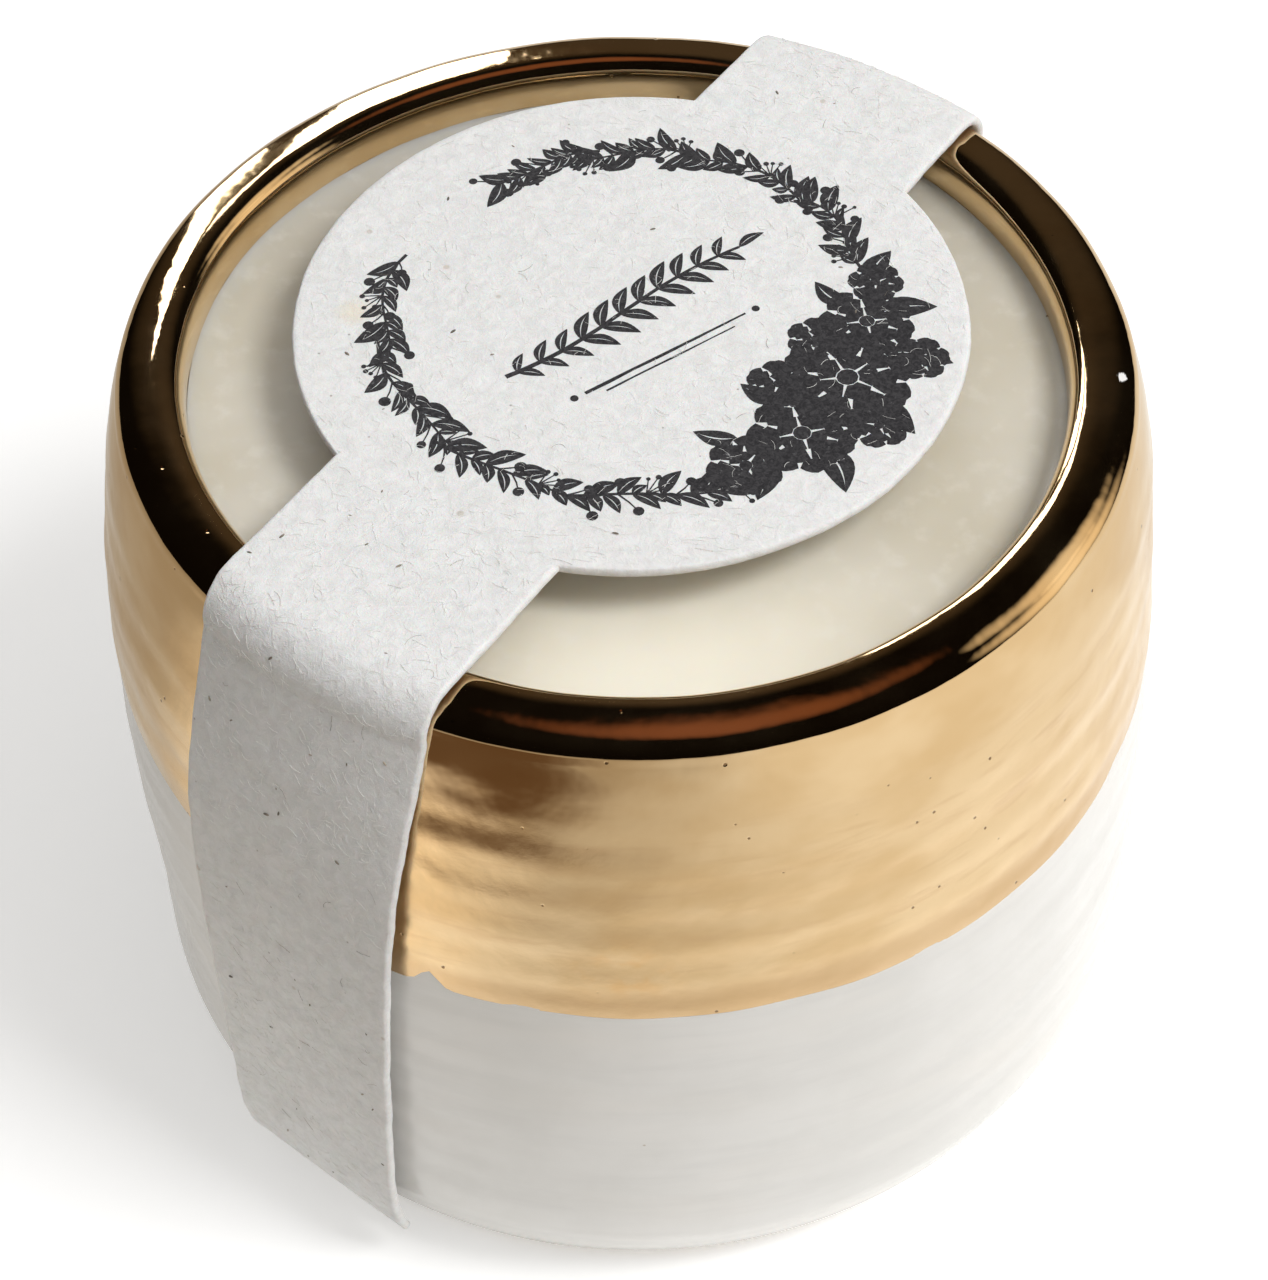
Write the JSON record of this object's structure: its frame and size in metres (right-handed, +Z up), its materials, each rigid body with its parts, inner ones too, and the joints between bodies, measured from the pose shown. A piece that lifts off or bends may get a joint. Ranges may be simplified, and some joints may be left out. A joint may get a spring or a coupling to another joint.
{
  "type": "container candle",
  "caption": "Wax candle in a round white ceramic vessel with a gold lustre rim, under a folded paper band with a round printed label.",
  "frame": {"origin": "centre of the vessel's flat foot, on the surface it stands on", "axes": "+Z up along the vessel's axis; the paper band runs across the mouth at 54.3 degrees from +X towards +Y, its front leg on the -X -Y side"},
  "size_m": [0.088, 0.088, 0.0711],
  "materials": {
    "white_glaze": "satin white glaze",
    "gold_lustre": "fired gold lustre, mirror bright on the rim and softer on the wall",
    "ivory_wax": "smooth ivory soy wax with a soft gloss",
    "wick_cotton": "waxed braided cotton",
    "tinned_steel": "tinned sheet",
    "pad_paper": "double-sided paper pad",
    "seed_paper": "thick handmade paper with fibres and seed flecks",
    "clear_glue": "clear glue"
  },
  "bodies": {
    "vessel": {"vessel_body": "white_glaze", "gold_lustre": "gold_lustre", "wax_fill": "ivory_wax", "wick": "wick_cotton", "wick_sustainer": "tinned_steel", "sustainer_pad": "pad_paper", "band_rear_leg": "seed_paper", "front_glue_spot": "clear_glue", "rear_glue_spot": "clear_glue"},
    "band": {"band_top": "seed_paper"},
    "front_leg": {"band_front_leg": "seed_paper"}
  },
  "joints": [
    {"name": "rear_crease", "type": "hinge", "parent": "vessel", "child": "band", "pos_m": [0.02208, 0.03278, 0.0697], "axis": [-0.8121, 0.5835, 0], "range_deg": [0, 120]},
    {"name": "front_crease", "type": "hinge", "parent": "band", "child": "front_leg", "pos_m": [-0.02403, -0.03138, 0.0697], "axis": [-0.8121, 0.5835, 0], "range_deg": [0, 90]}
  ]
}
